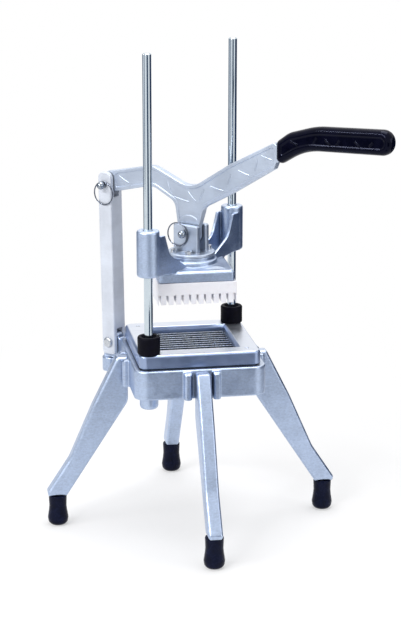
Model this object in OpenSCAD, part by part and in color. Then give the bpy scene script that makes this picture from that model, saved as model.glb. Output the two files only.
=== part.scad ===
// French fry cutter: a lever press on four legs that pushes food down through a grid of blades.
// The origin is on the floor under the middle of the grid. X runs to the right along the front
// edge, Y to the back and Z up. Rods, lever and link stand on the diagonals of the blade grid.

/* [Guide rods] */
// Diameter of each guide rod
rod_d = 12; // [10:0.5:14]
// Distance of each rod from the middle, along X and along Y
rod_offset = 69.5; // [67:0.5:72]
// Height of the rod tops above the floor
rod_top = 672; // [600:1:760]
// Depth of each rod in its socket, below the top of the body
rod_sink = 49; // [40:0.5:51]

/* [Legs and feet] */
// Distance of each foot from the middle
foot_reach = 191; // [170:1:230]
// Thickness of each leg
leg_t = 20; // [16:0.5:22]
// Depth of each leg at its top, away from the body
leg_top_w = 15.5; // [13:0.5:20]
// How far the leg's inner edge stays upright below the body
leg_drop = 26; // [20:1:40]
// Height of each rubber foot
foot_h = 44; // [34:1:54]
// Diameter of each rubber foot at its top
foot_d = 25.5; // [24:0.5:28]
// Diameter of the peg that each foot is pushed on
peg_d = 12; // [10:0.5:14]
// Diameter of the screws that hold the legs
leg_screw_d = 6; // [5:0.5:7]

/* [Body casting] */
// Height of the body's underside above the floor
body_z = 205; // [180:1:240]
// Height of the body casting
body_h = 40.5; // [38:0.5:50]
// Side of the body casting
body_side = 181; // [175:1:190]
// Radius of the body's upright corners
body_corner = 18; // [14:0.5:24]
// Thickness of the body's outer walls
wall = 6; // [5:0.5:7]
// Thickness of the deck that carries the blade frame
deck_t = 8.5; // [7:0.5:10]
// Diameter of the rod sockets
socket_d = 25.5; // [24:0.5:28]
// Distance of the link's lower pivot from the middle, along the diagonal
lug_reach = 137; // [136:0.5:142]
// Thickness of the lug that carries the link
lug_t = 12; // [10:0.5:13]

/* [Blade frame] */
// Side of the blade frame
plate_side = 167; // [162:0.5:170]
// Height of the blade frame
plate_h = 20.5; // [19:0.5:26]
// Radius of the blade frame's upright corners
plate_corner = 10; // [8:0.5:12]
// Number of blades in each direction
blade_count = 11; // [7:2:11]
// Distance from one blade to the next, 9.5 mm clear
blade_pitch = 10.3; // [9.5:0.1:10.4]
// Thickness of each blade
blade_t = 0.8; // [0.5:0.1:1]
// Height of each blade strip
blade_w = 4.7; // [4:0.1:4.8]
// Depth of the upper blades below the top of the frame
blade_depth = 8.5; // [8:0.1:9.5]

/* [Pusher] */
// Height of the pusher block with its fingers
pusher_h = 29.5; // [28:0.5:36]
// Length of the fingers
finger_len = 13; // [12:0.5:16]
// Width of the slots between the fingers
slot_w = 3; // [2:0.1:4]
// Width of the rim beyond the outermost slots
pusher_rim = 2.5; // [2:0.1:3.5]

/* [Head casting] */
// Height of the underside of the guide bosses above the floor
head_z = 373.5; // [360:0.5:380]
// Diameter of the guide bosses
boss_d = 31; // [28:0.5:34]
// Height of the guide bosses
boss_h = 63.5; // [50:0.5:70]
// Side of the square cap above the pusher
cap_side = 104; // [96:1:108]
// Height of the square cap
cap_h = 15; // [12:0.5:16]
// Thickness of the webs from the bosses to the cap
web_t = 4; // [3:0.5:5]
// Diameter of the round seat on top of the cap
seat_d = 72; // [68:1:76]
// Outer diameter of the guide bushings
bushing_d = 18; // [16:0.5:20]

/* [Clevis] */
// Width of the clevis cheeks
cheek_w = 40; // [34:0.5:44]
// Thickness of each clevis cheek
cheek_t = 7.5; // [6:0.5:8]
// Height of the lever's pivot above the round seat
pivot_rise = 30.5; // [28:0.5:34]
// Diameter of the screws that clamp the clevis, the head and the pusher
head_screw_d = 6; // [5:0.5:6.5]

/* [Lever] */
// Thickness of the lever
arm_t = 11; // [9:0.5:12]
// Distance from the head pivot back to the link pivot
arm_rear = 141; // [138:0.5:144]
// Height of the link pivot above the head pivot
arm_rise = 50.5; // [48:0.5:53]
// Distance from the head pivot to the start of the grip
grip_start = 141; // [136:1:156]
// Length of the grip along the handle
grip_len = 174; // [150:1:190]
// Thickness of the vinyl grip
grip_t = 19; // [17:0.5:22]
// Depth of the panels sunk in both sides of the lever
panel_depth = 1.2; // [0.6:0.1:2]

/* [Link] */
// Width of the link
link_w = 22.5; // [20:0.5:23.5]
// Thickness of the link across its forks
link_t = 26; // [24:0.5:28]
// Diameter of the bolt at the foot of the link
bolt_d = 10; // [8:0.5:12]

/* [Ring pins] */
// Diameter of the quick-release pins
pin_d = 8; // [7:0.5:9]
// Outer diameter of the pull rings
ring_d = 34; // [30:0.5:34]
// Thickness of the ring wire
ring_wire = 1.8; // [1.4:0.1:2]

/* [Hidden] */
$fn = 48;

// Running clearance on a radius, and clearance of a plain fit
run = 0.05;
fit = 0.1;
eps = 0.5;

// Heights
body_top = body_z + body_h;
deck_z = body_top - deck_t;
plate_top = body_top + plate_h;
blade_top = plate_top - blade_depth;
cap_drop = 16;
cap_z = head_z - cap_drop;
seat_h = 13.5;
seat_z = cap_z + cap_h + seat_h;
flange_h = 4;
slot_root = cap_z - pusher_h + finger_len;
bumper_gap = 0.3;
blade_gap = 0.5;
head_travel = slot_root - blade_top - blade_gap;
bumper_h = head_z - plate_top - head_travel - bumper_gap;
bumper_d = boss_d;

// Widths that follow from the blade grid
grid_span = (blade_count - 1) * blade_pitch;
pusher_side = grid_span + 2 * pusher_rim;
opening_side = pusher_side + 2.4;
lead_in = 3.3;
blade_seat = 7;
body_half = body_side / 2;
bushing_bore = rod_d / 2 + run;

// Pivots in the plane of the diagonal: [distance along the diagonal, height]
head_pivot = [0, seat_z + pivot_rise];
link_pivot = [-arm_rear, head_pivot[1] + arm_rise];
lug_pivot = [-lug_reach, body_top - 7.5];
link_line = link_pivot - lug_pivot;
link_len = norm(link_line);
link_tilt = atan2(link_line[0], link_line[1]);
arm_line = link_pivot - head_pivot;
arm_tilt = atan2(arm_line[1], arm_line[0]);
pin_slack = 1.25;
pin_creep = 7.1;
fork_gap = arm_t + 1.5;
clevis_gap = arm_t + 3;
clevis_t = clevis_gap + 2 * cheek_t;
lug_gap = lug_t + 1;
bushing_wall = 2;
arm_bushing_d = pin_d + 2 * bushing_wall;

// Colours
cast_silver = [0.72, 0.75, 0.82];
polished_silver = [0.80, 0.83, 0.90];
steel = [0.75, 0.77, 0.78];
rubber_black = [0.05, 0.05, 0.07];

// ---- Outlines: lists of corners [x, y, radius] taken anticlockwise ----

function unit(v) = v / norm(v);
function wrap(i, list) = list[(i + len(list)) % len(list)];
function at2(p) = [p[0], p[1]];

// Points of the arc that rounds corner b between a and c
function corner_arc(a, b, c, r, steps = 6) =
    let (u = unit(a - b), w = unit(c - b), half = acos(u * w) / 2,
        reach = r / tan(half), mid = b + unit(u + w) * r / sin(half),
        first = b + u * reach - mid, last = b + w * reach - mid,
        start = atan2(first[1], first[0]),
        turn = (atan2(last[1], last[0]) - start + 540) % 360 - 180)
    [for (i = [0:steps]) mid + r * [cos(start + turn * i / steps), sin(start + turn * i / steps)]];

function rounded(corners) = [for (i = [0:len(corners) - 1])
    let (a = at2(wrap(i - 1, corners)), b = at2(corners[i]), c = at2(wrap(i + 1, corners)))
    each (corners[i][2] == 0 ? [b] : corner_arc(a, b, c, corners[i][2]))];

// Outline moved inwards by c at every side
function inset(points, c) = [for (i = [0:len(points) - 1])
    let (p = at2(points[i]), u = unit(p - at2(wrap(i - 1, points))),
        w = unit(at2(wrap(i + 1, points)) - p), nu = [-u[1], u[0]], nw = [-w[1], w[0]])
    p + c * (nu + nw) / (1 + nu * nw)];

function inset_corners(corners, c) = let (moved = inset(corners, c))
    [for (i = [0:len(corners) - 1]) [moved[i][0], moved[i][1], corners[i][2]]];

// ---- Shared shapes ----

// Plate in the XZ plane, t thick about y = 0, with its edges bevelled by c
module bevelled_plate(points, t, c) {
    n = len(points);
    inner = inset(points, c);
    rings = [[inner, -t / 2], [points, -t / 2 + c], [points, t / 2 - c], [inner, t / 2]];
    polyhedron(
        points = [for (ring = rings) for (p = ring[0]) [p[0], ring[1], p[1]]],
        faces = concat(
            [[for (i = [n - 1:-1:0]) i]],
            [for (k = [0:2]) for (i = [0:n - 1]) let (j = (i + 1) % n)
                [k * n + i, k * n + j, (k + 1) * n + j, (k + 1) * n + i]],
            [[for (i = [0:n - 1]) 3 * n + i]]));
}

// Plate in the XZ plane with square edges
module flat_plate(points, t) {
    rotate([90, 0, 0]) linear_extrude(t, center = true) polygon(points);
}

// Square block with round upright corners and a chamfer round its top
module soft_block(side, h, r, c) {
    half = side / 2;
    for (x = [-1, 1], y = [-1, 1]) translate([x * (half - r), y * (half - r), 0]) {
        cylinder(h = h - c, r = r);
        translate([0, 0, h - c]) cylinder(h = c, r1 = r, r2 = r - c);
    }
    for (turn = [0, 90]) rotate(turn) rotate([90, 0, 0])
        linear_extrude(side - 2 * r, center = true)
            polygon([[-half, 0], [half, 0], [half, h - c], [half - c, h],
                [c - half, h], [-half, h - c]]);
}

// Cylinder along Y, centred
module cross_pin(d, length) {
    rotate([90, 0, 0]) cylinder(d = d, h = length, center = true);
}

module at_rods() {
    for (side = [-1, 1]) translate([side * rod_offset, side * rod_offset, 0]) children();
}

// X along the diagonal to the front right, Y along the diagonal to the back right
module diagonal() {
    rotate(-45) children();
}

module at_pivot(pivot) {
    translate([pivot[0], 0, pivot[1]]) children();
}

// Cap screw standing on z = 0 with its shank below
module cap_screw(d, length) {
    head_d = 1.6 * d;
    head_h = 0.8 * d;
    difference() {
        cylinder(d = head_d, h = head_h);
        translate([0, 0, head_h / 2]) cylinder(d = 0.9 * d, h = head_h, $fn = 6);
    }
    translate([0, 0, -length]) cylinder(d = d, h = length);
}

// ---- Body ----

flange_in = 14.5;
flange_w = 10.5;
flange_out = 9.5;
flange_top = body_top - 2.5;
leg_top = flange_top;
screw_z = [body_z + 9, body_z + 27];
pad_w = 16;
pad_t = 4;
leg_screw_in = 14;
plate_screw = rod_offset - 3.5;
plate_screw_d = 5;
boss_reach = lug_reach + 5;
boss_drop = 12;
lug_boss_d = 26;
socket_floor = 8.5;

module rod_sockets(extra = 0) {
    top_r = socket_d / 2 + extra;
    at_rods() translate([0, 0, body_top - rod_sink - socket_floor]) rotate_extrude()
        polygon([[0, 0], [top_r - 4, 0], [top_r - 1.2, 1.5], [top_r, 4.5],
            [top_r, rod_sink + socket_floor - 1], [0, rod_sink + socket_floor - 1]]);
}

module leg_flanges() {
    for (turn = [0:90:270], side = [-1, 1]) rotate(turn)
        translate([body_half - wall / 2, side * (flange_in + flange_w / 2), body_z])
            translate([0, -flange_w / 2, 0]) {
                cube([wall / 2 + flange_out - 2, flange_w, flange_top - body_z]);
                translate([0, 2, 0])
                    cube([wall / 2 + flange_out, flange_w - 4, flange_top - body_z - 2]);
            }
}

module body_cavity() {
    inner = body_side - 2 * wall;
    difference() {
        translate([0, 0, body_z - eps])
            soft_block(inner, deck_z - body_z + eps, body_corner - wall, 2);
        rod_sockets();
        for (turn = [0:90:270]) rotate(turn)
            translate([inner / 2 - pad_t, -pad_w / 2, body_z]) cube([pad_t + eps, pad_w, body_h]);
    }
}

module link_lug() {
    round_r = 14;
    corner = (body_half - body_corner) * sqrt(2) + body_corner;
    outer = lug_reach + round_r;
    shoulder = min(round_r - lug_reach, -corner - 5);
    shoulder_r = 7.5;
    nose_r = min(13, outer + shoulder - shoulder_r);
    base = body_z - boss_drop;
    diagonal() {
        flat_plate(rounded([[-corner + wall - 1, body_z + 1, 0], [-corner + wall - 1, body_top - 2, 0],
            [-corner - 3, body_top - 2, 3], [shoulder, lug_pivot[1] + round_r, shoulder_r],
            [-outer, lug_pivot[1] + round_r, nose_r], [-outer, body_z + 5, 3], [-corner, body_z + 5, 3]]),
            lug_t);
        translate([-boss_reach, 0, base]) {
            cylinder(d = lug_boss_d, h = boss_drop + 8);
            translate([0, 0, boss_drop + 8]) cylinder(d1 = lug_boss_d, d2 = lug_boss_d - 2, h = 1);
        }
        translate([-boss_reach, -9, base + 4])
            cube([boss_reach - corner + wall - 1, 18, boss_drop + 3]);
    }
}

module base_body() color(cast_silver) difference() {
    union() {
        difference() {
            union() {
                translate([0, 0, body_z]) soft_block(body_side, body_h, body_corner, 1.5);
                leg_flanges();
                rod_sockets();
            }
            body_cavity();
        }
        link_lug();
    }
    translate([0, 0, deck_z - eps])
        soft_block(opening_side + 2, deck_t + 2, 4, 1);
    at_rods() translate([0, 0, body_top - rod_sink]) cylinder(d = rod_d + fit, h = rod_sink + 1);
    diagonal() at_pivot(lug_pivot) cross_pin(bolt_d + 2 * bushing_wall, lug_t + 1);
    for (turn = [0:90:270], z = screw_z) rotate(turn)
        translate([body_half - wall - pad_t - 1, 0, z]) rotate([0, 90, 0])
            cylinder(d = leg_screw_d + fit, h = wall + pad_t + 2);
    for (side = [-1, 1]) translate([side * plate_screw, -side * plate_screw, deck_z - eps])
        cylinder(d = plate_screw_d + fit, h = deck_t + 1);
}

module lug_bushing() color("goldenrod") diagonal() at_pivot(lug_pivot) difference() {
    cross_pin(bolt_d + 2 * bushing_wall, lug_t);
    cross_pin(bolt_d + 2 * run, lug_t + 1);
}

// ---- Legs and feet ----

tip_in = foot_reach - 12.5;
tip_out = foot_reach + 14.5;
leg_bevel = 2.5;

module leg_profile() {
    top_out = [body_half + leg_top_w, leg_top];
    foot_out = [tip_out, foot_h + 6];
    slope = foot_out - top_out;
    shoulder = top_out + 0.35 * slope - [1, 0];
    knee = top_out + 0.75 * slope - [7, 0];
    bevelled_plate(rounded([[tip_in, foot_h, 0], [tip_out - 1, foot_h, 0],
        [foot_out[0], foot_out[1], 2], [knee[0], knee[1], 60], [shoulder[0], shoulder[1], 60],
        [top_out[0], top_out[1], 3], [body_half, leg_top, 0],
        [body_half, body_z - leg_drop, 20]]), leg_t, leg_bevel);
}

module leg(turn) color(cast_silver) rotate(turn) difference() {
    union() {
        leg_profile();
        translate([foot_reach, 0, foot_h - peg_len]) cylinder(d = peg_d, h = peg_len + 2);
    }
    for (z = screw_z) translate([body_half - 1, 0, z]) rotate([0, 90, 0])
        cylinder(d = leg_screw_d + fit, h = leg_screw_in - 4);
}

peg_len = 22;

module leg_screws() color(steel)
    for (turn = [0:90:270], z = screw_z) rotate(turn)
        translate([body_half - wall - pad_t, 0, z]) rotate([0, -90, 0])
            cap_screw(leg_screw_d, wall + pad_t + leg_screw_in - 6);

module foot(turn) color(rubber_black) rotate(turn) translate([foot_reach, 0, 0])
    rotate_extrude() {
        r = foot_d / 2;
        polygon([[0, 0], [6, 0], [r - 1.5, 1.4], [r + 1, 4.5], [r + 1.75, 8.5], [r + 1.75, 12.5],
            [r + 0.6, 19], [r - 0.4, 25], [r - 0.4, 30], [r, foot_h - 1.5], [r - 1, foot_h],
            [peg_d / 2 + run, foot_h], [peg_d / 2 + run, foot_h - peg_len - 0.2],
            [0, foot_h - peg_len - 0.2]]);
    }

// ---- Blade frame and blades ----

module blade_places() {
    for (i = [0:blade_count - 1]) translate([0, i * blade_pitch - grid_span / 2, 0]) children();
}

module blade_set(top, clear, length) {
    blade_places() translate([-length / 2, -blade_t / 2 - clear, top - blade_w - clear])
        cube([length, blade_t + 2 * clear, blade_w + 2 * clear]);
}

strip_len = opening_side + 2 * blade_seat;
strip_clear = 0.06;
lower_top = blade_top - blade_w - 2 * strip_clear - 0.05;

module blade_frame() color(polished_silver) difference() {
    relief = 1;
    union() {
        translate([0, 0, body_top + relief])
            soft_block(plate_side, plate_h - relief, plate_corner, 3);
        translate([0, 0, body_top])
            soft_block(plate_side - 8, relief + 1, plate_corner - 2, 0.5);
    }
    translate([0, 0, body_top - 1]) soft_block(opening_side, plate_h + 2, 3, 0.2);
    translate([0, 0, plate_top + 0.01]) rotate([180, 0, 45])
        cylinder(r1 = (opening_side / 2 + lead_in) * sqrt(2), r2 = (opening_side / 2 - 1) * sqrt(2),
            h = lead_in + 3, $fn = 4);
    at_rods() translate([0, 0, body_top - 1]) cylinder(d = rod_d + 2 * fit, h = plate_h + 2);
    for (side = [-1, 1]) translate([side * plate_screw, -side * plate_screw, body_top - 1])
        cylinder(d = plate_screw_d + fit, h = plate_h + 2);
    blade_set(blade_top, strip_clear, strip_len + fit);
    rotate(90) blade_set(lower_top, strip_clear, strip_len + fit);
}

module blades_upper() color(steel) blade_set(blade_top, 0, strip_len);

module blades_lower() color(steel) rotate(90) blade_set(lower_top, 0, strip_len);

module blade_frame_screws() color(steel)
    for (side = [-1, 1]) translate([side * plate_screw, -side * plate_screw, deck_z])
        rotate([180, 0, 0]) cap_screw(plate_screw_d, deck_t + plate_h - 0.4);

// ---- Guide rods and bumpers ----

module guide_rod(side) color(steel) translate([side * rod_offset, side * rod_offset, 0])
    rotate_extrude() {
        r = rod_d / 2;
        low = body_top - rod_sink + 0.2;
        polygon([[0, low], [r - 1, low], [r, low + 1], [r, rod_top - 1.5],
            [r - 1.5, rod_top], [0, rod_top]]);
    }

module bumper(side) color(rubber_black) translate([side * rod_offset, side * rod_offset, plate_top])
    rotate_extrude() {
        r = bumper_d / 2;
        bore = rod_d / 2 + run;
        polygon([[bore, 0], [r - 0.5, 0], [r, 1.5], [r, bumper_h - 2], [r - 1.2, bumper_h],
            [bore + 4.5, bumper_h], [bore, bumper_h - 6]]);
    }

// ---- Head ----

boss_reach_n = rod_offset * sqrt(2);
web_u = boss_d / 2 - web_t / 2 - 0.5;
screw_u = 12;
screw_n = clevis_t / 2 + 8.5;
clamp_len = flange_h + seat_h + cap_h + 12;
slope_h = 3;
boss_lip = 3;
lip_clear = 0.4;

module at_head_screws() {
    diagonal() for (u = [-screw_u, screw_u], n = [-screw_n, screw_n]) translate([u, n, 0]) children();
}

module guide_boss() {
    r = boss_d / 2;
    rotate_extrude() polygon([[0, 0], [r - 2.5, 0], [r - 0.7, 0.8], [r, 3], [r, boss_h - 3],
        [r - 0.9, boss_h - 0.9], [r - 3, boss_h], [0, boss_h]]);
}

// Web from a boss down to the seat, in the plane of the two rods
module boss_web() {
    ledge = boss_reach_n - boss_d / 2 - 3;
    foot_n = cap_side / 2 + 9;
    seat_r = seat_d / 2;
    flat_plate(rounded([[seat_r - 10, cap_z + cap_h - 4, 0], [foot_n - 6, cap_z + cap_h - 4, 0],
        [foot_n, head_z - 2, 4], [boss_reach_n - boss_d / 2 - 2, head_z, 4],
        [boss_reach_n, head_z, 0], [boss_reach_n, head_z + boss_h - 9, 0],
        [ledge, head_z + boss_h - 9, 1.5], [ledge - 11, head_z + 25, 22],
        [seat_r - 4, seat_z - 9, 0], [seat_r - 10, seat_z - 9, 0]]), web_t);
}

module head_casting() color(cast_silver) difference() {
    union() {
        translate([0, 0, cap_z]) soft_block(cap_side, cap_h, 5, 3);
        translate([0, 0, cap_z + cap_h - 1]) rotate(45)
            cylinder(r1 = (cap_side / 2 - 6) * sqrt(2), r2 = (seat_d / 2 - 3) * sqrt(2),
                h = slope_h, $fn = 4);
        translate([0, 0, cap_z + cap_h - 1]) cylinder(d = seat_d, h = seat_h - 6);
        translate([0, 0, seat_z - 7]) cylinder(d1 = seat_d, d2 = seat_d - 3, h = 1.5);
        translate([0, 0, seat_z - 7]) cylinder(d = seat_d - 6, h = 7);
        at_rods() translate([0, 0, head_z]) guide_boss();
        diagonal() for (side = [-1, 1], u = [-web_u, web_u])
            translate([u, 0, 0]) rotate(90 * side) boss_web();
    }
    at_rods() translate([0, 0, head_z - 1]) {
        cylinder(d = bushing_d, h = boss_h - boss_lip + 1);
        cylinder(d = rod_d + 2 * lip_clear, h = boss_h + 2);
    }
    at_head_screws() translate([0, 0, cap_z - 1])
        cylinder(d = head_screw_d + fit, h = cap_h + seat_h + 2);
}

module guide_bushing(side) color("goldenrod")
    translate([side * rod_offset, side * rod_offset, head_z + 0.5]) difference() {
        cylinder(d = bushing_d, h = boss_h - boss_lip - 0.5);
        translate([0, 0, -1]) cylinder(r = bushing_bore, h = boss_h + 1);
    }

module clevis() color(cast_silver) difference() {
    cheek_top = pivot_rise + 11.5;
    diagonal() translate([0, 0, seat_z]) {
        cylinder(d = seat_d - 6, h = flange_h - 1);
        translate([0, 0, flange_h - 1]) cylinder(d1 = seat_d - 6, d2 = seat_d - 8, h = 1);
        for (side = [-1, 1]) translate([0, side * (clevis_gap + cheek_t) / 2, 0])
            bevelled_plate([[-cheek_w / 2, 0], [cheek_w / 2, 0], [cheek_w / 2, cheek_top - 2],
                [cheek_w / 2 - 2, cheek_top], [2 - cheek_w / 2, cheek_top],
                [-cheek_w / 2, cheek_top - 2]], cheek_t, 1);
    }
    diagonal() at_pivot(head_pivot) cross_pin(pin_d + 2 * run, clevis_t + 1);
    at_head_screws() translate([0, 0, seat_z - 1]) cylinder(d = head_screw_d + fit, h = flange_h + 2);
}

module head_screws() color(steel)
    at_head_screws() translate([0, 0, seat_z + flange_h]) cap_screw(head_screw_d, clamp_len);

// Comb of fingers that runs along Y: the block less its slots, with chamfered tips
module finger_comb() {
    tip = 1.6;
    low = cap_z - pusher_h;
    half = pusher_side / 2;
    first = -grid_span / 2;
    slot = slot_w / 2;
    flat_plate(concat([[half, low + tip], [half, cap_z], [-half, cap_z], [-half, low + tip]],
        [for (i = [0:blade_count - 1]) let (x = first + i * blade_pitch) each
            [[x - slot - (i == 0 ? 0.2 : tip), low], [x - slot, low + tip], [x - slot, slot_root - 1],
                [x - slot + 1, slot_root], [x + slot - 1, slot_root], [x + slot, slot_root - 1],
                [x + slot, low + tip], [x + slot + (i == blade_count - 1 ? 0.2 : tip), low]]]),
        pusher_side);
}

module pusher() color([0.95, 0.95, 0.97]) difference() {
    intersection() {
        finger_comb();
        rotate(90) finger_comb();
    }
    at_head_screws() translate([0, 0, seat_z + flange_h - clamp_len - 0.3])
        cylinder(d = head_screw_d + fit, h = clamp_len);
}

// ---- Lever ----

rear_end = -arm_rear - 9.5;
tang_in = 4;

// Corners of the lever, measured from the head pivot; its tang fills the grip
function arm_corners() = concat([
    [rear_end, arm_rise - 13, 12], [-arm_rear + 22, arm_rise - 7, 0], [-62, 57.5, 26],
    [-24, 39.5, 15], [-18.5, 4, 0], [-16, -14.5, 11], [15.5, -14.5, 11], [15, 8, 0],
    [24, 37.1, 10], [68, 60.5, 0], [grip_start, 105.1, 0]],
    tang_corners(grip_start, tang_in), [
    [grip_start, 140.4, 0], [66, 101.5, 60], [2, 61, 40], [-62, 86, 28],
    [rear_end, arm_rise + 16, 12]]);

// Corners of the tang: those of the grip moved in, from x at the open end
function tang_corners(x, c) = let (g = grip_corners(), moved = inset(g, c), last = len(g) - 1)
    concat([[x, g[0][1] + c, 0]],
        [for (i = [1:last - 1]) [moved[i][0], moved[i][1], max(g[i][2] - c, 0)]],
        [[x, g[last][1] - c, 0]]);

// Corners of the grip, measured from the head pivot
function grip_corners() = let (far = grip_start + grip_len) [
    [grip_start, 106.4, 5], [grip_start + 44, 132.7, 90], [far, 139.2, 16.5], [far, 173, 16.5],
    [grip_start + 59, 166.3, 110], [grip_start + 18, 154, 35], [grip_start, 141, 5]];

// Panel sunk in one side of the lever, inside a raised border
module panel_cut(side) {
    border = 4;
    translate([0, side * arm_t / 2, 0]) rotate([90, 0, 0])
        linear_extrude(2 * panel_depth, center = true) difference() {
            intersection() {
                polygon(rounded(inset_corners(arm_corners(), border)));
                translate([22 - arm_rear, 0]) square([grip_start + arm_rear - 26, 160]);
            }
            circle(r = 23);
        }
}

module lever_arm() color(polished_silver) diagonal() at_pivot(head_pivot) difference() {
    flat_plate(rounded(arm_corners()), arm_t);
    panel_cut(-1);
    panel_cut(1);
    cross_pin(arm_bushing_d, arm_t + 1);
    translate([arm_line[0], 0, arm_line[1]]) rotate([0, -arm_tilt, 0]) {
        slot_d = pin_d + 2 * pin_slack;
        cross_pin(slot_d, arm_t + 1);
        translate([-pin_creep, 0, 0]) cross_pin(slot_d, arm_t + 1);
        translate([-pin_creep / 2, 0, 0]) cube([pin_creep, arm_t + 1, slot_d], center = true);
    }
}

module lever_bushing() color("goldenrod") diagonal() at_pivot(head_pivot) difference() {
    cross_pin(arm_bushing_d, arm_t + 2);
    cross_pin(pin_d + 2 * run, arm_t + 3);
}

module grip() color(rubber_black) diagonal() at_pivot(head_pivot) difference() {
    bevelled_plate(rounded(grip_corners()), grip_t, 4.5);
    tang = tang_corners(grip_start, tang_in - fit);
    mouth = [for (end = [tang[len(tang) - 1], tang[0]]) [end[0] - 5, end[1], 0]];
    flat_plate(rounded(concat(tang, mouth)), arm_t + 2 * fit);
}

// ---- Link ----

fork_top = 18;
fork_low = 20;

module link() color(polished_silver) diagonal() at_pivot(lug_pivot) rotate([0, link_tilt, 0])
    difference() {
        end_r = link_w / 2 - 2;
        bevelled_plate(rounded([[-link_w / 2, -18, 5], [link_w / 2, -18, 5],
            [link_w / 2, link_len + 18, end_r], [-link_w / 2, link_len + 18, end_r]]), link_t, 1.2);
        translate([-link_w, -fork_gap / 2, link_len - fork_top])
            cube([2 * link_w, fork_gap, fork_top + 30]);
        translate([-link_w, -lug_gap / 2, -30]) cube([2 * link_w, lug_gap, 30 + fork_low]);
        translate([0, 0, link_len]) cross_pin(pin_d + 2 * run, link_t + 1);
        cross_pin(bolt_d + 2 * run, link_t + 1);
    }

module link_bolt() color(steel) diagonal() at_pivot(lug_pivot) {
    head_d = bolt_d + 4.5;
    cross_pin(bolt_d, link_t);
    translate([0, -link_t / 2, 0]) rotate([90, 0, 0]) {
        cylinder(d = head_d, h = 2.6);
        translate([0, 0, 2.6]) cylinder(d1 = head_d, d2 = head_d - 3.5, h = 1.4);
    }
    translate([0, link_t / 2 + 4.2, 0]) cross_pin(bolt_d - 2, 8.4);
}

module link_nut() color(steel) diagonal() at_pivot(lug_pivot) rotate([-90, 0, 0])
    translate([0, 0, link_t / 2]) difference() {
        cylinder(d = 1.8 * bolt_d, h = 7, $fn = 6);
        translate([0, 0, -1]) cylinder(d = bolt_d - 2 + fit, h = 9);
    }

// ---- Ring pins ----

neck_d = 6;
neck_len = 3.4;
ball_d = 11;
ring_offset = ring_d / 2 - ring_wire - neck_d / 2 - 0.3;

// Pin along Y through a fork of outer width across, with its neck and ball on the -Y side
module ring_pin(across) {
    tip = 4;
    rotate([90, 0, 0]) {
        translate([0, 0, -across / 2 - tip + 1]) cylinder(d = pin_d, h = across + tip - 1);
        translate([0, 0, -across / 2 - tip]) cylinder(d1 = pin_d - 2, d2 = pin_d, h = 1);
        translate([0, 0, across / 2]) cylinder(d = neck_d, h = neck_len + 1);
        translate([0, 0, across / 2 + neck_len + ball_d / 2 - 1]) sphere(d = ball_d);
    }
}

// Ring hung on the pin's neck, its middle turned by angle from the diagonal
module pull_ring(across, angle) {
    rotate([0, -angle, 0]) translate([ring_offset, -across / 2 - neck_len / 2, 0])
        rotate([90, 0, 0]) rotate_extrude()
            translate([(ring_d - ring_wire) / 2, 0]) circle(d = ring_wire, $fn = 16);
}

module head_pin() color(steel) diagonal() at_pivot(head_pivot) ring_pin(clevis_t);

module head_pin_ring() color(steel) diagonal() at_pivot(head_pivot) pull_ring(clevis_t, 192);

module link_pin() color(steel) diagonal() at_pivot(link_pivot) ring_pin(link_t);

module link_pin_ring() color(steel) diagonal() at_pivot(link_pivot) pull_ring(link_t, 270);

base_body();
blade_frame();
blades_upper();
blades_lower();
blade_frame_screws();
guide_rod(-1);  // guide_rod_left
guide_rod(1);  // guide_rod_right
bumper(-1);  // bumper_left
bumper(1);  // bumper_right
leg(0);  // leg_right
leg(90);  // leg_back
leg(180);  // leg_left
leg(270);  // leg_front
foot(0);  // foot_right
foot(90);  // foot_back
foot(180);  // foot_left
foot(270);  // foot_front
leg_screws();
lug_bushing();
head_casting();
guide_bushing(-1);  // guide_bushing_left
guide_bushing(1);  // guide_bushing_right
clevis();
head_screws();
pusher();
lever_arm();
grip();
lever_bushing();
link();
link_bolt();
link_nut();
head_pin();
head_pin_ring();
link_pin();
link_pin_ring();
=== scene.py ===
import math

import bmesh
import bpy
from bpy.props import FloatProperty, FloatVectorProperty, IntProperty, PointerProperty
from mathutils import Matrix, Vector
from mathutils.geometry import tessellate_polygon


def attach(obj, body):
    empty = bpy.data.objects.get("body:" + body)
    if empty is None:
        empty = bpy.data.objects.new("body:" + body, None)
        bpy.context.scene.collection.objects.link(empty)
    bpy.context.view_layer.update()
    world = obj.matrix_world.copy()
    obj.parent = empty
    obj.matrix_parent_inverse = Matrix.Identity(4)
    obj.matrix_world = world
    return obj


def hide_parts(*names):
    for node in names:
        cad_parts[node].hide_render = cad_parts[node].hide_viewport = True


bl_info = {
    "name": "French Fry Cutter",
    "version": (1, 0, 0),
    "blender": (4, 5, 0),
    "location": "3D View > Sidebar > Fry Cutter",
    "description": "Dresses the packed fry cutter with cast, turned and moulded pieces",
    "category": "Object",
}

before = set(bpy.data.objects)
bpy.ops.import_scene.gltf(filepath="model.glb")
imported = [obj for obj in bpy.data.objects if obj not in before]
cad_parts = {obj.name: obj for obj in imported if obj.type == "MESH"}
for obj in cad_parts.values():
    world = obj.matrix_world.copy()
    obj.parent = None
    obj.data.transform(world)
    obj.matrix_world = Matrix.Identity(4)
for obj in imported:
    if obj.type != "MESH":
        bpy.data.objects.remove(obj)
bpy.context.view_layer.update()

MM = 0.001

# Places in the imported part, in millimetres. A pivot is (distance along the diagonal, height).
ROD_PLACES = {"left": (-69.5, -69.5), "right": (69.5, 69.5)}
FOOT_PLACES = {"right": (191, 0), "back": (0, 191), "left": (-191, 0), "front": (0, -191)}
PLATE_TOP = 266.0
BLADE_TOPS = {"upper": 257.5, "lower": 252.63}
BLADE_PITCH = 10.3
BLADES_EACH_SIDE = 5
HEAD_PIVOT = (0.0, 416.5)
LINK_PIVOT = (-141.0, 467.0)
LUG_PIVOT = (-137.0, 238.0)

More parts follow.
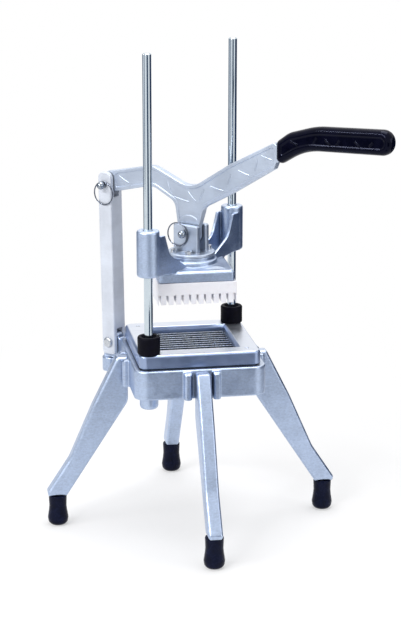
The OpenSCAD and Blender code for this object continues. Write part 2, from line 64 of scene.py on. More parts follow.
DIAGONAL = Matrix.Rotation(math.radians(-45), 4, "Z")
LAID_DOWN = Matrix.Rotation(math.radians(90), 4, "X")


# ---- Outlines: corners (x, y, radius) taken anticlockwise ----

def corner_arc(a, b, c, r, steps):
    a, b, c = Vector(a), Vector(b), Vector(c)
    u, w = (a - b).normalized(), (c - b).normalized()
    half = u.angle(w) / 2
    reach = min(r / math.tan(half), 0.499 * min((a - b).length, (c - b).length))
    r = reach * math.tan(half)
    middle = b + (u + w).normalized() * (r / math.sin(half))
    first, last = b + u * reach - middle, b + w * reach - middle
    start = math.atan2(first.y, first.x)
    turn = (math.atan2(last.y, last.x) - start + 3 * math.pi) % (2 * math.pi) - math.pi
    return [middle + Vector((math.cos(start + turn * i / steps),
                             math.sin(start + turn * i / steps))) * r for i in range(steps + 1)]


def rounded(corners, steps=8, closed=True):
    points = []
    n = len(corners)
    for i, (x, y, r) in enumerate(corners):
        if r == 0 or (not closed and i in (0, n - 1)):
            points.append(Vector((x, y)))
        else:
            points += corner_arc(corners[i - 1][:2], (x, y), corners[(i + 1) % n][:2], r, steps)
    return points


def box_outline(x0, x1, y0, y1, r, steps):
    return rounded([(x0, y0, r), (x1, y0, r), (x1, y1, r), (x0, y1, r)], steps)


def inset(points, c):
    moved = []
    n = len(points)
    for i in range(n):
        p = points[i]
        u = (p - points[i - 1]).normalized()
        w = (points[(i + 1) % n] - p).normalized()
        normal = Vector((-u.y - w.y, u.x + w.x))
        moved.append(p + normal * (c / (1 + max(u.dot(w), -0.5))))
    return moved


def inset_corners(corners, c):
    moved = inset([Vector(k[:2]) for k in corners], c)
    return [(m.x, m.y, k[2]) for m, k in zip(moved, corners)]


# ---- Mesh tools, all in millimetres until a piece is finished ----

def at_pivot(pivot):
    """Moves what is drawn round a pivot, in the XZ plane, to its place on the diagonal."""
    return DIAGONAL @ Matrix.Translation((pivot[0], 0, pivot[1]))


def add_ring(bm, points):
    return [bm.verts.new(p) for p in points]


def level_ring(bm, outline, z):
    return add_ring(bm, [(p.x, p.y, z) for p in outline])


def bridge(bm, low, high, closed=True):
    n = len(low)
    for i in range(n if closed else n - 1):
        j = (i + 1) % n
        bm.faces.new((low[i], low[j], high[j], high[i]))


def skin(bm, rings, closed=True):
    """Bridges each ring with the one that follows it."""
    for low, high in zip(rings, rings[1:]):
        bridge(bm, low, high, closed)


def cap(bm, loops, flip=False):
    """Fills the flat area between the first loop and the holes that follow it."""
    flat = [[v.co.copy() for v in loop] for loop in loops]
    verts = [v for loop in loops for v in loop]
    for a, b, c in tessellate_polygon(flat):
        order = (verts[c], verts[b], verts[a]) if flip else (verts[a], verts[b], verts[c])
        if bm.faces.get(order) is None:
            bm.faces.new(order)


def circle(n):
    return [(math.cos(2 * math.pi * i / n), math.sin(2 * math.pi * i / n)) for i in range(n)]


def lathe(bm, profile, at=(0, 0, 0), segments=64, axis=None):
    """Turns a profile of (radius, height) about an upright axis, or about axis, a matrix."""
    rings = []
    for r, z in profile:
        if r < 1e-6:
            ring = [bm.verts.new((0, 0, z))] * segments
        else:
            ring = add_ring(bm, [(r * x, r * y, z) for x, y in circle(segments)])
        rings.append(ring)
    for low, high in zip(rings, rings[1:]):
        for i in range(segments):
            j = (i + 1) % segments
            corners = list(dict.fromkeys((low[i], low[j], high[j], high[i])))
            if len(corners) > 2:
                bm.faces.new(corners)
    verts = list({v for ring in rings for v in ring})
    move = Matrix.Translation(at) @ (axis if axis else Matrix.Identity(4))
    bmesh.ops.transform(bm, matrix=move, verts=verts)


def plate_rings(bm, outline, t, edge):
    """Sweeps an XZ outline through its thickness; edge lists (inset, depth below the face)."""
    steps = [(c, -(t / 2 - d)) for c, d in edge] + [(c, t / 2 - d) for c, d in reversed(edge)]
    rings = [add_ring(bm, [(p.x, y, p.y) for p in inset(outline, c)]) for c, y in steps]
    skin(bm, rings)
    return rings[0], rings[-1]


def bore_rings(bm, r, t, chamfer=0.4, segments=48):
    """A chamfered hole of radius r round the Y axis, through a plate t thick."""
    rings = [add_ring(bm, [(radius * x, y, radius * z) for x, z in circle(segments)])
             for radius, y in ((r + chamfer, -t / 2), (r, chamfer - t / 2), (r, t / 2 - chamfer),
                               (r + chamfer, t / 2))]
    for low, high in zip(rings, rings[1:]):
        bridge(bm, high, low)
    return rings[0], rings[-1]


def soft_edge(r, steps=4):
    """Edge list of a quarter round of radius r."""
    turns = [math.pi / 2 * i / steps for i in range(steps + 1)]
    return [(r * (1 - math.sin(a)), r * (1 - math.cos(a))) for a in turns]


def linked(name, data):
    made = bpy.data.objects.new(name, data)
    bpy.context.scene.collection.objects.link(made)
    return made


def linked_mesh(name, bm):
    mesh = bpy.data.meshes.new(name)
    bm.to_mesh(mesh)
    bm.free()
    return linked(name, mesh)


def plain_piece(name, bm, turn=None):
    """Turns a bmesh in millimetres into an object in metres, without a finish."""
    bmesh.ops.recalc_face_normals(bm, faces=bm.faces)
    bmesh.ops.transform(bm, matrix=Matrix.Scale(MM, 4) @ (turn or Matrix.Identity(4)),
                        verts=bm.verts)
    return linked_mesh(name, bm)


def finish_piece(name, bm, body, finish, nodes, turn=None, sharp=35, weighted=True):
    """Turns a bmesh in millimetres into a piece with its ride, slot and material."""
    dress(plain_piece(name, bm, turn), body, finish, nodes, sharp, weighted)


def turned_pieces(kind, node, finish, profile, segments, places, weighted=True):
    """The same turned piece at each of the places."""
    for side, (x, y) in places.items():
        bm = bmesh.new()
        lathe(bm, profile, (x, y, 0), segments)
        finish_piece(f"{kind}_{side}", bm, "frame", finish, (f"{node}_{side}",),
                     weighted=weighted)


def dress(piece, body, finish, nodes, sharp, weighted=True):
    mesh = piece.data
    mesh.shade_smooth()
    mesh.set_sharp_from_angle(angle=math.radians(sharp))
    if weighted:
        apply_modifier(piece, "WEIGHTED_NORMAL", keep_sharp=True, weight=60)
    mesh = piece.data
    mesh.materials.clear()
    mesh.materials.append(material(finish))
    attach(piece, body)
    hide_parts(*nodes)


def apply_modifier(piece, kind, **settings):
    modifier = piece.modifiers.new(kind.title(), kind)
    for key, value in settings.items():
        setattr(modifier, key, value)
    graph = bpy.context.evaluated_depsgraph_get()
    mesh = bpy.data.meshes.new_from_object(piece.evaluated_get(graph), depsgraph=graph)
    piece.modifiers.clear()
    old = piece.data
    name = old.name
    piece.data = mesh
    bpy.data.meshes.remove(old)
    mesh.name = name


def node_copy(name, node, turn=None):
    """A welded copy of a CAD node's mesh, turned into the frame it is worked in."""
    bm = bmesh.new()
    bm.from_mesh(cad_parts[node].data)
    bmesh.ops.remove_doubles(bm, verts=bm.verts, dist=2e-6)
    bmesh.ops.dissolve_limit(bm, angle_limit=math.radians(0.4), verts=bm.verts, edges=bm.edges)
    if turn:
        bmesh.ops.transform(bm, matrix=turn, verts=bm.verts)
    return linked_mesh(name, bm)


def cast_piece(name, node, body, finish, coarser=1.0, fewer=0, turn=None):
    """A CAD node as it comes out of the mould: every edge and root softly rounded.

    Its cells are coarser than the usual casting's by a factor, and it gets fewer passes.
    """
    shape = bpy.context.scene.cutter_shape
    piece = node_copy(name, node, turn.inverted() if turn else None)
    apply_modifier(piece, "REMESH", mode="VOXEL", voxel_size=shape.cast_voxel * coarser)
    apply_modifier(piece, "SMOOTH", factor=0.5, iterations=max(shape.cast_softness - fewer, 1))
    if turn:
        piece.data.transform(turn)
    dress(piece, body, finish, (node,), 60, weighted=False)


def filleted_piece(name, node, body, finish, width, segments):
    """A CAD node with its sharp edges broken, as filing or tumbling leaves them."""
    piece = node_copy(name, node)
    apply_modifier(piece, "BEVEL", width=width * MM, segments=segments, limit_method="ANGLE",
                   angle_limit=math.radians(24), use_clamp_overlap=True, miter_outer="MITER_ARC")
    dress(piece, body, finish, (node,), 40)


# ---- Finishes ----


def put(tree, kind, settings=None, **inputs):
    """Adds a shader node; inputs are named sockets, given a value or another node's output."""
    made = tree.nodes.new(kind)
    for key, value in (settings or {}).items():
        setattr(made, key, value)
    for key, value in inputs.items():
        at = int(key[1:]) if key[1:].isdigit() else key.replace("_", " ")
        if isinstance(value, bpy.types.NodeSocket):
            tree.links.new(value, made.inputs[at])
        else:
            made.inputs[at].default_value = value
    return made


def new_effect(name, *inputs):
    """An empty effect and what it is given, named with usual values as (name, value)."""
    tree = bpy.data.node_groups.new(name, "ShaderNodeTree")
    for label, value in inputs:
        socket = tree.interface.new_socket(name=label, in_out="INPUT",
                                           socket_type="NodeSocketFloat")
        socket.default_value = value
    return tree, tree.nodes.new("NodeGroupInput").outputs


def give(tree, **results):
    """Puts an effect's results out under their names."""
    for label in results:
        tree.interface.new_socket(name=label, in_out="OUTPUT", socket_type="NodeSocketFloat")
    out = tree.nodes.new("NodeGroupOutput")
    for label, result in results.items():
        tree.links.new(result, out.inputs[label])
    return tree


def coordinates(tree, kind="Object"):
    return tree.nodes.new("ShaderNodeTexCoord").outputs[kind]


def millimetres(tree, stretch=(1, 1, 1)):
    """Object coordinates in millimetres, squeezed along each axis by stretch."""
    return put(tree, "ShaderNodeMapping", Vector=coordinates(tree),
               Scale=[1000 * s for s in stretch]).outputs[0]


def noise(tree, place, scale, detail, roughness=0.5, distortion=0.0):
    return put(tree, "ShaderNodeTexNoise", Vector=place, Scale=scale, Detail=detail,
               Roughness=roughness, Distortion=distortion).outputs[0]


def ramp(tree, value, low, high, to_low=0.0, to_high=1.0, curve="LINEAR"):
    return put(tree, "ShaderNodeMapRange", {"interpolation_type": curve}, i0=value, i1=low,
               i2=high, i3=to_low, i4=to_high).outputs[0]


def math_of(tree, operation, a, b):
    return put(tree, "ShaderNodeMath", {"operation": operation}, i0=a, i1=b).outputs[0]


def times(tree, a, b):
    return math_of(tree, "MULTIPLY", a, b)


def plus(tree, a, b):
    return math_of(tree, "ADD", a, b)


def blend_colours(tree, factor, a, b):
    return put(tree, "ShaderNodeMix", {"data_type": "RGBA"}, i0=factor, i6=a, i7=b).outputs[2]


def overlay(tree, base, *layers):
    """Lays colours over base; each layer is (mask, share, colour)."""
    for mask, share, colour in layers:
        base = blend_colours(tree, times(tree, mask, share), base, colour)
    return base


def build_cast_grain():
    """Sand-cast and tumbled skin: fine pits, soft dimples, cloudy tone and blotches."""
    tree, given = new_effect("Cast grain", ("Grain size mm", 1.0), ("Pits", 0.4))
    place = millimetres(tree)
    scale = math_of(tree, "DIVIDE", 1.0, given["Grain size mm"])
    fine = noise(tree, place, scale, 4.0, 0.6)
    coarse = noise(tree, place, times(tree, scale, 0.22), 2.0)
    pits = put(tree, "ShaderNodeTexVoronoi", Vector=place, Scale=times(tree, scale, 0.6))
    pit = ramp(tree, pits.outputs["Distance"], 0.05, 0.3, -1.0, 0.0)
    height = plus(tree, times(tree, fine, 0.6), times(tree, coarse, 0.8))
    height = plus(tree, height, times(tree, pit, given["Pits"]))
    cloud = noise(tree, place, 0.035, 3.0, 0.55)
    blotch = noise(tree, millimetres(tree, (1, 1, 1.6)), times(tree, scale, 0.3), 3.0, 0.7)
    return give(tree, Height=height, Tone=ramp(tree, cloud, 0.3, 0.7),
                Speckle=ramp(tree, fine, 0.35, 0.7), Mottle=ramp(tree, blotch, 0.36, 0.64))


def build_rubbed_edges_and_painted_light():
    """Corners rubbed bright by tumbling and handling and painted bright as a highlight, broken up
    by noise; Crevice is painted shade in hollows and roots.
    """
    tree, given = new_effect("Rubbed edges and painted light", ("Start", 0.53), ("Full", 0.6))
    point = tree.nodes.new("ShaderNodeNewGeometry").outputs["Pointiness"]
    breakup = noise(tree, millimetres(tree), 0.3, 3.0)
    ragged = plus(tree, point, ramp(tree, breakup, 0.3, 0.7, -0.015, 0.015))
    worn = ramp(tree, ragged, given["Start"], given["Full"], curve="SMOOTHSTEP")
    # Mask: rubbed wear and painted highlight on corners; Crevice: painted shade where the surface
    # is hollow.
    return give(tree, Mask=worn, Crevice=ramp(tree, point, 0.36, 0.48, 1.0, 0.0))


def build_drawn_lines():
    """Fine lines left by grinding or polishing, long one way and short the other."""
    tree, given = new_effect("Drawn lines", *((f"Along {axis}", 1.0) for axis in "xyz"))
    stretch = put(tree, "ShaderNodeCombineXYZ", X=given[0], Y=given[1], Z=given[2])
    scaled = put(tree, "ShaderNodeVectorMath", {"operation": "MULTIPLY"},
                 i0=coordinates(tree), i1=stretch.outputs[0])
    metric = put(tree, "ShaderNodeVectorMath", {"operation": "SCALE"}, i0=scaled.outputs[0],
                 Scale=1000.0).outputs[0]
    lines = noise(tree, metric, 1.0, 3.0, 0.6)
    broad = noise(tree, metric, 0.15, 2.0)
    mixed = plus(tree, times(tree, lines, 0.5), times(tree, broad, 0.5))
    return give(tree, Height=lines, Tone=ramp(tree, mixed, 0.35, 0.65))


def build_smudges():
    """Faint handling marks and dust, in patches a few centimetres across."""
    tree, given = new_effect("Smudges", ("Size mm", 25.0))
    scale = math_of(tree, "DIVIDE", 1.0, given[0])
    cloud = noise(tree, millimetres(tree), scale, 5.0, 0.65, 0.6)
    return give(tree, Mask=ramp(tree, cloud, 0.38, 0.68))


def build_painted_top_light():
    """Faces that look up, painted bright as light from above, with a few duller smears left."""
    tree, given = new_effect("Painted top light", ("Start", 0.75), ("Full", 0.96))
    look = put(tree, "ShaderNodeSeparateXYZ", Vector=coordinates(tree, "Normal"))
    smear = noise(tree, millimetres(tree, (0.3, 1, 1)), 0.12, 4.0)
    flat = ramp(tree, look.outputs["Z"], given["Start"], given["Full"], curve="SMOOTHSTEP")
    # The mask is painted top light, lowered a little by the smears.
    return give(tree, Mask=times(tree, flat, ramp(tree, smear, 0.3, 0.5, 0.85, 1.0)))


def build_painted_gap_shade():
    """Painted shade in narrow gaps and roots, darkest where little of the surroundings is open."""
    tree, given = new_effect("Painted gap shade", ("Reach mm", 9.0))
    reach = times(tree, given[0], MM)
    open_share = put(tree, "ShaderNodeAmbientOcclusion", {"samples": 6}, Distance=reach)
    # The mask is painted shade: 1 where the surface is enclosed, 0 where it is open.
    return give(tree, Mask=ramp(tree, open_share.outputs["AO"], 0.15, 0.75, 1.0, 0.0))


BUILDERS = {
    "Cast grain": build_cast_grain, "Rubbed edges and painted light": build_rubbed_edges_and_painted_light, "Smudges": build_smudges,
    "Drawn lines": build_drawn_lines, "Painted top light": build_painted_top_light,
    "Painted gap shade": build_painted_gap_shade,
}
EFFECTS = {}


def effect(tree, name, **values):
    """Places an effect in a material, building its group the first time."""
    if name not in EFFECTS:
        EFFECTS[name] = BUILDERS[name]()
    return put(tree, "ShaderNodeGroup", {"node_tree": EFFECTS[name]}, **values).outputs


def rgba(colour, gain=1.0):
    return (colour[0] * gain, colour[1] * gain, colour[2] * gain, 1.0)


def start_material(name, metallic, **constants):
    made = bpy.data.materials.new(name)
    made.use_nodes = True
    shader = made.node_tree.nodes["Principled BSDF"]
    shader.inputs["Metallic"].default_value = metallic
    for key, value in constants.items():
        shader.inputs[key.replace("_", " ")].default_value = value
    return made, made.node_tree, shader


def connect(tree, shader, colour, roughness, height=None, depth=0.05, strength=1.0):
    """Joins colour, roughness and a bump of depth millimetres to the shader."""
    tree.links.new(colour, shader.inputs["Base Color"])
    tree.links.new(roughness, shader.inputs["Roughness"])
    if height is not None:
        bump = put(tree, "ShaderNodeBump", Height=height, Strength=strength, Distance=depth * MM)
        tree.links.new(bump.outputs[0], shader.inputs["Normal"])


def cast_material(look):
    made, tree, shader = start_material("cast_aluminium", 1.0)
    colour, roughness = look.cast_colour, look.cast_roughness
    bright = rgba(look.bright_metal)
    grain = effect(tree, "Cast grain", Grain_size_mm=look.grain_size / MM, Pits=0.35)
    lines = effect(tree, "Drawn lines", Along_x=0.07, Along_y=0.07, Along_z=0.45)
    wear_and_painted_light = effect(tree, "Rubbed edges and painted light")
    marks = effect(tree, "Smudges", Size_mm=30.0)
    painted_top_light = effect(tree, "Painted top light")
    painted_gap_shade = effect(tree, "Painted gap shade", Reach_mm=8.0)
    base = blend_colours(tree, grain["Tone"], rgba(colour, 0.88), rgba(colour, 1.08))
    base = overlay(tree, base,
                   (lines["Tone"], 0.35, rgba(colour, 0.72)),
                   (grain["Mottle"], 0.35, rgba(colour, 1.45)),
                   # Painted top light: faces that look up are made brighter.
                   (painted_top_light["Mask"], 0.35, bright),
                   # Painted shade: hollows and roots are darkened.
                   (wear_and_painted_light["Crevice"], 0.6, rgba(colour, 0.22)),
                   # Corners made bright: rubbed wear and painted highlight.
                   (wear_and_painted_light["Mask"], 0.85, bright),
                   # Painted shade: narrow gaps are darkened.
                   (painted_gap_shade["Mask"], 0.7, rgba(colour, 0.1)))
    rough = ramp(tree, marks["Mask"], 0, 1, roughness - 0.05, roughness + 0.07)
    rough = math_of(tree, "SUBTRACT", rough, times(tree, wear_and_painted_light["Mask"], 0.12))
    connect(tree, shader, base, rough, grain["Height"], 0.2, 0.8)
    return made


def aluminium_material(name, colour, bright, roughness, grain_depth, painted_top_light_share=0.0,
                       rubbed_and_lit_edge_share=0.6, metallic=1.0):
    """Tumbled or brushed aluminium: finer than the raw castings."""
    made, tree, shader = start_material(name, metallic)
    grain = effect(tree, "Cast grain", Grain_size_mm=0.7, Pits=0.1)
    lines = effect(tree, "Drawn lines", Along_x=0.12, Along_y=0.12, Along_z=1.6)
    marks = effect(tree, "Smudges", Size_mm=22.0)
    painted_gap_shade = effect(tree, "Painted gap shade", Reach_mm=7.0)
    layers = [(lines["Tone"], 0.3, rgba(colour, 0.8))]
    # Painted top light on faces that look up.
    if painted_top_light_share:
        layers.append((effect(tree, "Painted top light")["Mask"], painted_top_light_share, rgba(bright)))
    # Corners made bright: rubbed wear and painted highlight.
    if rubbed_and_lit_edge_share:
        layers.append((effect(tree, "Rubbed edges and painted light")["Mask"], rubbed_and_lit_edge_share, rgba(bright)))
    # Painted shade darkens narrow gaps.
    layers.append((painted_gap_shade["Mask"], 0.85, rgba(colour, 0.08)))
    base = blend_colours(tree, grain["Tone"], rgba(colour, 0.88), rgba(colour, 1.08))
    base = overlay(tree, base, *layers)
    rough = ramp(tree, marks["Mask"], 0, 1, roughness - 0.03, roughness + 0.04)
    height = plus(tree, grain["Height"], times(tree, lines["Height"], 0.5))
    connect(tree, shader, base, rough, height, grain_depth, 0.6)
    return made


def marked_material(name, metallic, light, dark, mark_size, smooth, rough, grain=(),
                    **constants):
    """A plain finish, uneven by handling marks; grain is (size, pits, depth, strength)."""
    made, tree, shader = start_material(name, metallic, **constants)
    marks = effect(tree, "Smudges", Size_mm=mark_size)["Mask"]
    base = blend_colours(tree, marks, light, dark)
    roughness = ramp(tree, marks, 0, 1, smooth, rough)
    if grain:
        size, pits, depth, strength = grain
        surface = effect(tree, "Cast grain", Grain_size_mm=size, Pits=pits)["Height"]
        connect(tree, shader, base, roughness, surface, depth, strength)
    else:
        connect(tree, shader, base, roughness)
    return made


def blade_material():
    """Steel strips painted dark as shade; in the upper set a painted highlight runs along their
    sharpened upper edges.
    """
    made, tree, shader = start_material("blade_steel", 1.0)
    lines = effect(tree, "Drawn lines", Along_x=2.5, Along_y=2.5, Along_z=0.4)
    height = put(tree, "ShaderNodeSeparateXYZ", Vector=millimetres(tree)).outputs["Z"]
    edge = ramp(tree, height, BLADE_TOPS["upper"] - 1.5, BLADE_TOPS["upper"] - 1.0)
    # Painted shade: the strips are nearly black.
    shaded_strip = blend_colours(tree, lines["Tone"], (0.02, 0.03, 0.055, 1), (0.05, 0.07, 0.11, 1))
    # Painted highlight along the sharpened top edges of the upper strips.
    base = blend_colours(tree, edge, shaded_strip, (0.86, 0.90, 0.95, 1))
    rough = ramp(tree, lines["Tone"], 0, 1, 0.22, 0.36)
    connect(tree, shader, base, rough, lines["Height"], 0.01, 0.5)
    return made


def bronze_material():
    made, tree, shader = start_material("bronze", 1.0)
    grain = effect(tree, "Cast grain", Grain_size_mm=0.4, Pits=0.5)
    base = blend_colours(tree, grain["Tone"], (0.50, 0.33, 0.14, 1), (0.66, 0.46, 0.22, 1))
    rough = ramp(tree, grain["Speckle"], 0, 1, 0.3, 0.45)
    connect(tree, shader, base, rough, grain["Height"], 0.03, 0.5)
    return made


def vinyl_material(colour):
    """Dipped vinyl: nearly black, with slow ripples and a bluish sheen."""
    made, tree, shader = start_material("grip_vinyl", 0.0, Specular_IOR_Level=0.14,
                                        Specular_Tint=(0.58, 0.65, 1.0, 1.0))
    marks = effect(tree, "Smudges", Size_mm=16.0)
    ripple = noise(tree, millimetres(tree), 0.05, 1.5)
    base = blend_colours(tree, marks["Mask"], rgba(colour, 0.8), rgba(colour, 1.6))
    connect(tree, shader, base, ramp(tree, marks["Mask"], 0, 1, 0.1, 0.17), ripple, 0.45, 0.6)
    return made


def make_material(finish):
    look = bpy.context.scene.cutter_finish
    bright, white = look.bright_metal, look.plastic_colour
    foot, bumper = look.foot_colour, look.bumper_colour
    return {
        "cast": lambda: cast_material(look),
        "satin": lambda: aluminium_material("satin_aluminium", look.satin_colour, bright,
                                            look.satin_roughness, 0.05),
        "link": lambda: aluminium_material("link_aluminium", look.link_colour, bright,
                                           look.satin_roughness, 0.04, metallic=0.2),
        # The blade frame's faces that look up get painted top light; its corners get none.
        "plate": lambda: aluminium_material("plate_aluminium", look.plate_colour, bright,
                                            look.cast_roughness - 0.06, 0.06, 0.8, 0.0),
        "rod": lambda: marked_material("stainless_rod", 1.0, (0.64, 0.72, 0.78, 1),
                                       (0.58, 0.66, 0.73, 1), 18.0, 0.05, 0.11),
        # Darkened steel colours stand for dark surroundings mirrored in the pin: painted
        # reflection.
        "pin": lambda: marked_material("pin_steel", 1.0, (0.36, 0.40, 0.46, 1),
                                       (0.22, 0.25, 0.30, 1), 6.0, 0.06, 0.16),
        # Darker still for the ring wire: painted reflection of dark surroundings.
        "ring": lambda: marked_material("ring_steel", 1.0, (0.20, 0.22, 0.27, 1),
                                        (0.10, 0.115, 0.15, 1), 6.0, 0.06, 0.16),
        "zinc": lambda: marked_material("zinc_steel", 1.0, (0.52, 0.55, 0.60, 1),
                                        (0.68, 0.70, 0.73, 1), 5.0, 0.24, 0.38,
                                        (0.5, 0.1, 0.02, 0.5)),
        "blade": blade_material,
        "bronze": bronze_material,
        "bumper": lambda: marked_material("bumper_rubber", 0.0, rgba(bumper, 0.7),
                                          rgba(bumper, 1.5), 12.0, 0.45, 0.6,
                                          (0.6, 0.1, 0.04, 0.6), Specular_IOR_Level=0.08),
        "foot": lambda: marked_material("foot_rubber", 0.0, rgba(foot, 0.7), rgba(foot, 1.5),
                                        12.0, 0.19, 0.34, (1.1, 0.1, 0.02, 0.6),
                                        Specular_IOR_Level=0.1),
        "vinyl": lambda: vinyl_material(look.vinyl_colour),
        "plastic": lambda: marked_material("white_plastic", 0.0, rgba(white), rgba(white, 0.95),
                                           9.0, 0.34, 0.46, (0.8, 0.0, 0.02, 0.5),
                                           Subsurface_Weight=0.25, Subsurface_Scale=0.002,
                                           Subsurface_Radius=(1.0, 0.9, 0.8)),
    }[finish]()


MADE = {}


def material(finish):
    """The material of a finish, made when the first piece needs it."""
    if finish not in MADE:
        MADE[finish] = make_material(finish)
    return MADE[finish]


# ---- Settings a user would change ----

def colour_setting(name, description, default):
    return FloatVectorProperty(name=name, description=description, default=default,
                               subtype="COLOR", size=3, min=0, max=1)


def roughness_setting(name, description, default):
    return FloatProperty(name=name, description=description, default=default, min=0.1, max=0.9,
                         subtype="FACTOR")


def length_setting(name, description, default, low, high):
    return FloatProperty(name=name, description=description, default=default, min=low, max=high,
                         subtype="DISTANCE", unit="LENGTH", precision=5)


def power_setting(name, description, default):
    return FloatProperty(name=name, description=description, default=default, min=0, max=1000,
                         unit="POWER")


class CutterFinish(bpy.types.PropertyGroup):
    cast_colour: colour_setting("Cast aluminium", "Colour of the raw castings",
                                (0.45, 0.54, 0.71))
    satin_colour: colour_setting("Satin aluminium", "Colour of the lever and the clevis",
                                 (0.56, 0.63, 0.75))
    link_colour: colour_setting("Link aluminium", "Colour of the link", (0.66, 0.70, 0.78))
    plate_colour: colour_setting("Blade frame", "Colour of the blade frame", (0.36, 0.45, 0.66))
    # Colour painted on rubbed edges, as a highlight on edges and as top light on faces that look
    # up.
    bright_metal: colour_setting("Rubbed and lit edges", "Colour painted on rubbed edges, as a highlight on edges and as top light on faces that look up",
                                 (0.86, 0.89, 0.95))
    vinyl_colour: colour_setting("Grip vinyl", "Colour of the dipped grip",
                                 (0.0008, 0.0008, 0.005))
    foot_colour: colour_setting("Foot rubber", "Colour of the feet", (0.003, 0.005, 0.02))
    bumper_colour: colour_setting("Bumper rubber", "Colour of the bumpers on the rods",
                                  (0.002, 0.002, 0.006))
    plastic_colour: colour_setting("Pusher plastic", "Colour of the pusher block",
                                   (0.82, 0.82, 0.87))
    cast_roughness: roughness_setting("Cast roughness", "Roughness of the raw castings", 0.37)
    satin_roughness: roughness_setting("Satin roughness", "Roughness of the lever and link", 0.45)
    grain_size: length_setting("Grain size", "Size of the casting grain",
                               0.0011, 0.0003, 0.004)


class CutterShape(bpy.types.PropertyGroup):
    cast_voxel: length_setting("Casting detail", "Size of the cells that soften the castings",
                               0.0009, 0.0005, 0.002)
    cast_softness: IntProperty(name="Casting softness", default=5, min=1, max=12,
                               description="How far cast edges are rounded, in smoothing passes")
    rib_height: length_setting("Rib height", "Height of the lever's ribs above its panels",
                               0.00105, 0.0003, 0.0012)
    rib_width: length_setting("Rib width", "Width of the lever's ribs", 0.0024, 0.001, 0.004)
    ring_wire: length_setting("Ring wire", "Thickness of the pull rings",
                              0.0018, 0.0012, 0.002)
    blade_edge: length_setting("Blade edge", "Height of the sharpened edge of each blade",
                               0.0012, 0.0004, 0.002)


class CutterStage(bpy.types.PropertyGroup):
    key_power: power_setting("Key light", "Power of the long light at the left", 62)
    fill_power: power_setting("Fill light", "Power of the light at the right", 14)
    top_power: power_setting("Top light", "Power of the light overhead", 46)
    strip_power: power_setting("Strip light", "Power of the narrow light for crisp highlights", 9)
    sky: FloatProperty(name="Surrounding light", default=0.46, min=0, max=2,
                       description="Strength of the even light from all round")


# ---- Pieces ----

class CUTTER_OT_body_casting(bpy.types.Operator):
    """Body casting with its leg pockets, rod sockets and lug, softened as it leaves the mould"""
    bl_idname = "cutter.body_casting"
    bl_label = "Body Casting"

    def execute(self, context):
        cast_piece("body_casting", "base_body", "frame", "cast")
        return {"FINISHED"}


class CUTTER_OT_legs(bpy.types.Operator):
    """Four splayed legs with softly rounded edges"""
    bl_idname = "cutter.legs"
    bl_label = "Legs"

    def execute(self, context):
        for side in FOOT_PLACES:
            cast_piece(f"leg_casting_{side}", f"leg_{side}", "frame", "cast", 1.2, 2)
        return {"FINISHED"}


class CUTTER_OT_feet(bpy.types.Operator):
    """Four moulded rubber feet pushed on the leg ends"""
    bl_idname = "cutter.feet"
    bl_label = "Rubber Feet"

    def execute(self, context):
        profile = rounded([(0, 0.3, 0), (5.5, 0, 1), (10.8, 1.2, 3), (13.6, 4.5, 5),
                           (14.55, 10.5, 8), (12.9, 21, 14), (12.2, 28, 14), (12.75, 42.3, 1.0),
                           (12.3, 43.9, 0.4), (9.2, 44, 0.3), (8.8, 42.6, 0)], 6, closed=False)
        turned_pieces("rubber_foot", "foot", "foot", profile, 72, FOOT_PLACES, weighted=False)
        return {"FINISHED"}


class CUTTER_OT_blade_frame(bpy.types.Operator):
    """Square plate that holds the blades, with its lead-in, drilled for rods and screws"""
    bl_idname = "cutter.blade_frame"
    bl_label = "Blade Frame"

    def execute(self, context):
        bm = bmesh.new()
        rings = []
        for half, r, z in ((79.5, 8, 245.5), (79.5, 8, 247.0), (82.3, 9.2, 247.15),
                           (83.1, 9.7, 247.4), (83.5, 10, 248.1), (83.5, 10, 262.6),
                           (83.2, 9.8, 263.5), (82.5, 9.2, 264.4), (81.4, 8.4, 265.4),
                           (80.7, 8, 265.85), (79.7, 7.4, 266), (59.3, 3.6, 266),
                           (58.6, 3.4, 265.85), (58.1, 3.2, 265.4), (55.7, 3, 262.9),
                           (55.3, 3, 262.2), (55.2, 3, 261), (55.2, 3, 245.5)):
            rings.append(level_ring(bm, box_outline(-half, half, -half, half, r, 10), z))
        skin(bm, rings)
        bridge(bm, rings[-1], rings[0])
        piece = plain_piece("blade_frame_plate", bm)
        below, above, rod_hole, screw_at = 240, 270, 6.1, 66
        drills = bmesh.new()
        for x, y in ROD_PLACES.values():
            lathe(drills, [(0, below), (rod_hole, below), (rod_hole, above), (0, above)],
                  (x, y, 0), 48)
        for at in (screw_at, -screw_at):
            lathe(drills, [(0, below), (2.55, below), (2.55, 265.3), (3.7, 266.5), (0, 266.5)],
                  (at, -at, 0), 32)
        tool = plain_piece("plate_drills", drills)
        apply_modifier(piece, "BOOLEAN", object=tool, operation="DIFFERENCE", solver="EXACT")
        bpy.data.objects.remove(tool)
        dress(piece, "frame", "plate", ("blade_frame",), 50)
        return {"FINISHED"}


